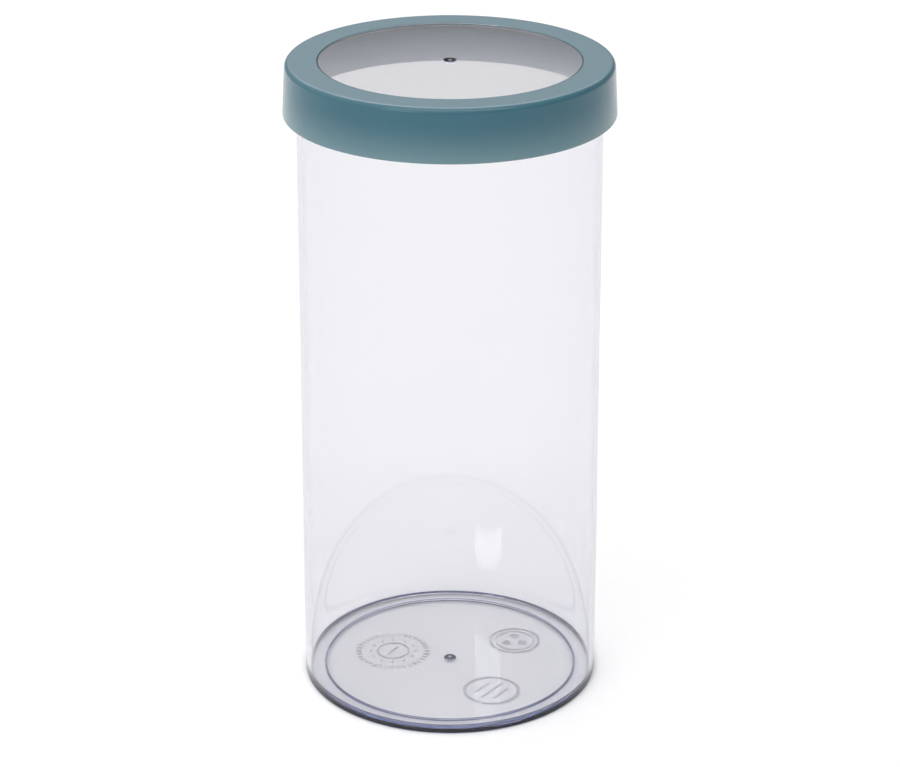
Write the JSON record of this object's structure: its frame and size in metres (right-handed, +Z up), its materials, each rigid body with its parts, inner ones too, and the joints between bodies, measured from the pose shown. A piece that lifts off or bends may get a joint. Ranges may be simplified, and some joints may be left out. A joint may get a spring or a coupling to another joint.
{
  "type": "clear storage canister",
  "caption": "Tall round clear canister on a ring foot, with a push-on coloured collar lid that holds a clear round window and a hidden sealing ring.",
  "frame": {"origin": "centre of the foot, on the surface that the canister stands on", "axes": "+Z up along the canister's axis, which is also the way that the lid lifts off; +X and +Y are free, because the shape is round"},
  "size_m": [0.122, 0.122, 0.247],
  "materials": {
    "clear_jar": null,
    "lid_collar": "teal moulded plastic, satin gloss",
    "clear_window": null,
    "seal": "soft dark grey elastomer"
  },
  "bodies": {
    "jar": {"jar_body": "clear_jar"},
    "lid": {"lid_ring": "lid_collar", "lid_window": "clear_window", "lid_seal": "seal"}
  },
  "joints": [
    {"name": "lid_lift", "type": "slide", "parent": "jar", "child": "lid", "axis": [0, 0, 1], "range_m": [0, 0.12]}
  ]
}
